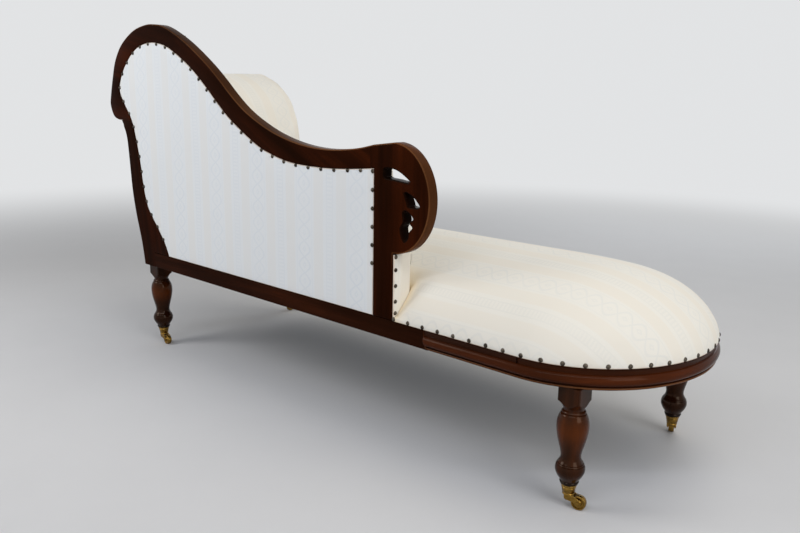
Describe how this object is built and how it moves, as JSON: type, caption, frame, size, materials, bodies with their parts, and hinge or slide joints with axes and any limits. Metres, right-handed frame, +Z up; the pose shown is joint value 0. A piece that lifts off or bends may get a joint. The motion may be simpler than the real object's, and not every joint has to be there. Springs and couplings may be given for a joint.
{
  "type": "recamier",
  "caption": "Victorian chaise longue: show-wood back with pierced scroll, rolled head pad, bowed domed seat, turned legs on brass swivel castors.",
  "frame": {"origin": "on the floor under the middle of the whole object", "axes": "+X towards the head end, +Y towards the show-wood back, +Z up"},
  "size_m": [1.798, 0.584, 0.9642],
  "materials": {
    "mahogany": "french polished",
    "beech": "unfinished, hidden frame",
    "damask_stripe": "woven cream stripe",
    "jute_webbing": "woven",
    "bottom_cloth": "plain weave",
    "aged_brass": "aged, polished on wear"
  },
  "bodies": {
    "frame": {"seat_rail_back": "mahogany", "seat_rail_front": "mahogany", "seat_rail_head": "mahogany", "bow_rail_back": "mahogany", "bow_rail_tip": "mahogany", "bow_rail_front": "mahogany", "rail_moulding_back": "mahogany", "rail_moulding_bow": "mahogany", "rail_moulding_front": "mahogany", "seat_brace_middle": "beech", "seat_brace_foot": "beech", "corner_block_back": "beech", "corner_block_front": "beech", "seat_webbing": "jute_webbing", "bottom_cloth": "bottom_cloth", "seat_cushion": "damask_stripe", "back_stile": "mahogany", "crest_arch": "mahogany", "crest_rail": "mahogany", "back_scroll_post": "mahogany", "back_brace_foot": "beech", "back_brace_head": "beech", "outside_back_panel": "damask_stripe", "inside_back_pad": "damask_stripe", "head_facing": "mahogany", "head_roundel": "mahogany", "head_top_rail": "beech", "head_stay_rail": "beech", "head_outside_panel": "damask_stripe", "head_roll_pad": "damask_stripe", "leg_head_back": "mahogany", "castor_cup_head_back": "aged_brass", "leg_head_front": "mahogany", "castor_cup_head_front": "aged_brass", "leg_foot_back": "mahogany", "castor_cup_foot_back": "aged_brass", "leg_foot_front": "mahogany", "castor_cup_foot_front": "aged_brass"},
    "castor_fork_head_back": {"castor_horn_head_back": "aged_brass", "castor_axle_head_back": "aged_brass"},
    "castor_roller_head_back": {"castor_wheel_head_back": "aged_brass"},
    "castor_fork_head_front": {"castor_horn_head_front": "aged_brass", "castor_axle_head_front": "aged_brass"},
    "castor_roller_head_front": {"castor_wheel_head_front": "aged_brass"},
    "castor_fork_foot_back": {"castor_horn_foot_back": "aged_brass", "castor_axle_foot_back": "aged_brass"},
    "castor_roller_foot_back": {"castor_wheel_foot_back": "aged_brass"},
    "castor_fork_foot_front": {"castor_horn_foot_front": "aged_brass", "castor_axle_foot_front": "aged_brass"},
    "castor_roller_foot_front": {"castor_wheel_foot_front": "aged_brass"}
  },
  "joints": [
    {"name": "swivel_head_back", "type": "hinge", "parent": "frame", "child": "castor_fork_head_back", "pos_m": [0.7215, 0.248, 0.0285], "axis": [0, 0, 1], "continuous": true},
    {"name": "roll_head_back", "type": "hinge", "parent": "castor_fork_head_back", "child": "castor_roller_head_back", "pos_m": [0.69955, 0.24954, 0.01512], "axis": [-0.0698, -0.9976, 0], "continuous": true},
    {"name": "swivel_head_front", "type": "hinge", "parent": "frame", "child": "castor_fork_head_front", "pos_m": [0.7215, -0.248, 0.0285], "axis": [0, 0, 1], "continuous": true},
    {"name": "roll_head_front", "type": "hinge", "parent": "castor_fork_head_front", "child": "castor_roller_head_front", "pos_m": [0.72719, -0.26925, 0.01512], "axis": [0.9659, 0.2588, 0], "continuous": true},
    {"name": "swivel_foot_back", "type": "hinge", "parent": "frame", "child": "castor_fork_foot_back", "pos_m": [-0.7395, 0.2335, 0.0285], "axis": [0, 0, 1], "continuous": true},
    {"name": "roll_foot_back", "type": "hinge", "parent": "castor_fork_foot_back", "child": "castor_roller_foot_back", "pos_m": [-0.76075, 0.22781, 0.01512], "axis": [0.2588, -0.9659, 0], "continuous": true},
    {"name": "swivel_foot_front", "type": "hinge", "parent": "frame", "child": "castor_fork_foot_front", "pos_m": [-0.7395, -0.2335, 0.0285], "axis": [0, 0, 1], "continuous": true},
    {"name": "roll_foot_front", "type": "hinge", "parent": "castor_fork_foot_front", "child": "castor_roller_foot_front", "pos_m": [-0.7309, -0.25375, 0.01512], "axis": [0.9205, 0.3907, 0], "continuous": true}
  ]
}
